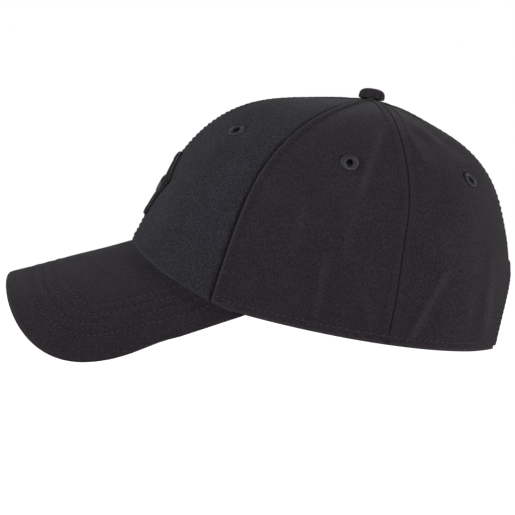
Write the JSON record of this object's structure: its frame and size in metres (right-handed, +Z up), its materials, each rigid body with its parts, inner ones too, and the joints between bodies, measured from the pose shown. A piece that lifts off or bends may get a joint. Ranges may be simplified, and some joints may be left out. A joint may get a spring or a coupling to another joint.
{
  "type": "bump cap",
  "caption": "Baseball-style fabric bump cap with a curved peak, a rear size strap and a removable padded hard shell inside the crown.",
  "frame": {"origin": "under the middle of the cap's length and width, on the surface it stands on", "axes": "+Z up, -Y the way the peak points, +X the wearer's left"},
  "size_m": [0.1602, 0.2822, 0.1475],
  "materials": {
    "front_twill": "blue-black heathered cotton twill",
    "side_twill": "black cotton twill",
    "peak_twill": "brushed black cotton twill",
    "thread": "black embroidery thread",
    "satin": "black satin stitch over foam",
    "tape": "woven black tape and webbing",
    "sweatband": "padded black sweatband",
    "board": "plain black polyethylene board",
    "shell": "moulded black ABS",
    "foam": "closed-cell foam",
    "hook_and_loop": "hook-and-loop pile",
    "steel": "nickel plated"
  },
  "bodies": {
    "cap": {"front_panel_left": "front_twill", "side_panel_left": "side_twill", "rear_panel_left": "side_twill", "front_backing_left": "tape", "eyelet_front_left": "thread", "eyelet_side_left": "thread", "eyelet_rear_left": "thread", "front_panel_right": "front_twill", "side_panel_right": "side_twill", "rear_panel_right": "side_twill", "front_backing_right": "tape", "eyelet_front_right": "thread", "eyelet_side_right": "thread", "eyelet_rear_right": "thread", "seam_tape_front_centre": "tape", "seam_tape_front_left": "tape", "seam_tape_front_right": "tape", "seam_tape_rear_left": "tape", "seam_tape_rear_right": "tape", "seam_tape_rear_centre": "tape", "sweatband": "sweatband", "peak_upper_cover": "peak_twill", "peak_board": "board", "peak_lower_cover": "peak_twill", "top_button": "side_twill", "button_post": "steel", "button_back": "steel", "emblem_ring": "satin", "emblem_centre": "satin", "rear_arch_binding": "tape", "strap_left": "tape", "strap_loop_patch": "hook_and_loop", "loop_patch_front_left": "hook_and_loop", "loop_patch_front_right": "hook_and_loop", "loop_patch_rear_left": "hook_and_loop", "loop_patch_rear_right": "hook_and_loop"},
    "size_strap": {"strap_right": "tape", "strap_hook_patch": "hook_and_loop"},
    "insert": {"protective_shell": "shell", "crown_pad": "foam", "front_pad": "foam", "rear_pad": "foam", "side_pad_left": "foam", "side_pad_right": "foam", "hook_patch_front_left": "hook_and_loop", "hook_patch_front_right": "hook_and_loop", "hook_patch_rear_left": "hook_and_loop", "hook_patch_rear_right": "hook_and_loop"}
  },
  "joints": [
    {"name": "strap_adjust", "type": "hinge", "parent": "cap", "child": "size_strap", "pos_m": [0, 0.03758, 0.01466], "axis": [0, -0.0251, -0.9997], "range_deg": [-2.2, 11.3]},
    {"name": "insert_slide", "type": "slide", "parent": "cap", "child": "insert", "axis": [0, -0.12, -0.9928], "range_m": [0, 0.15]}
  ]
}
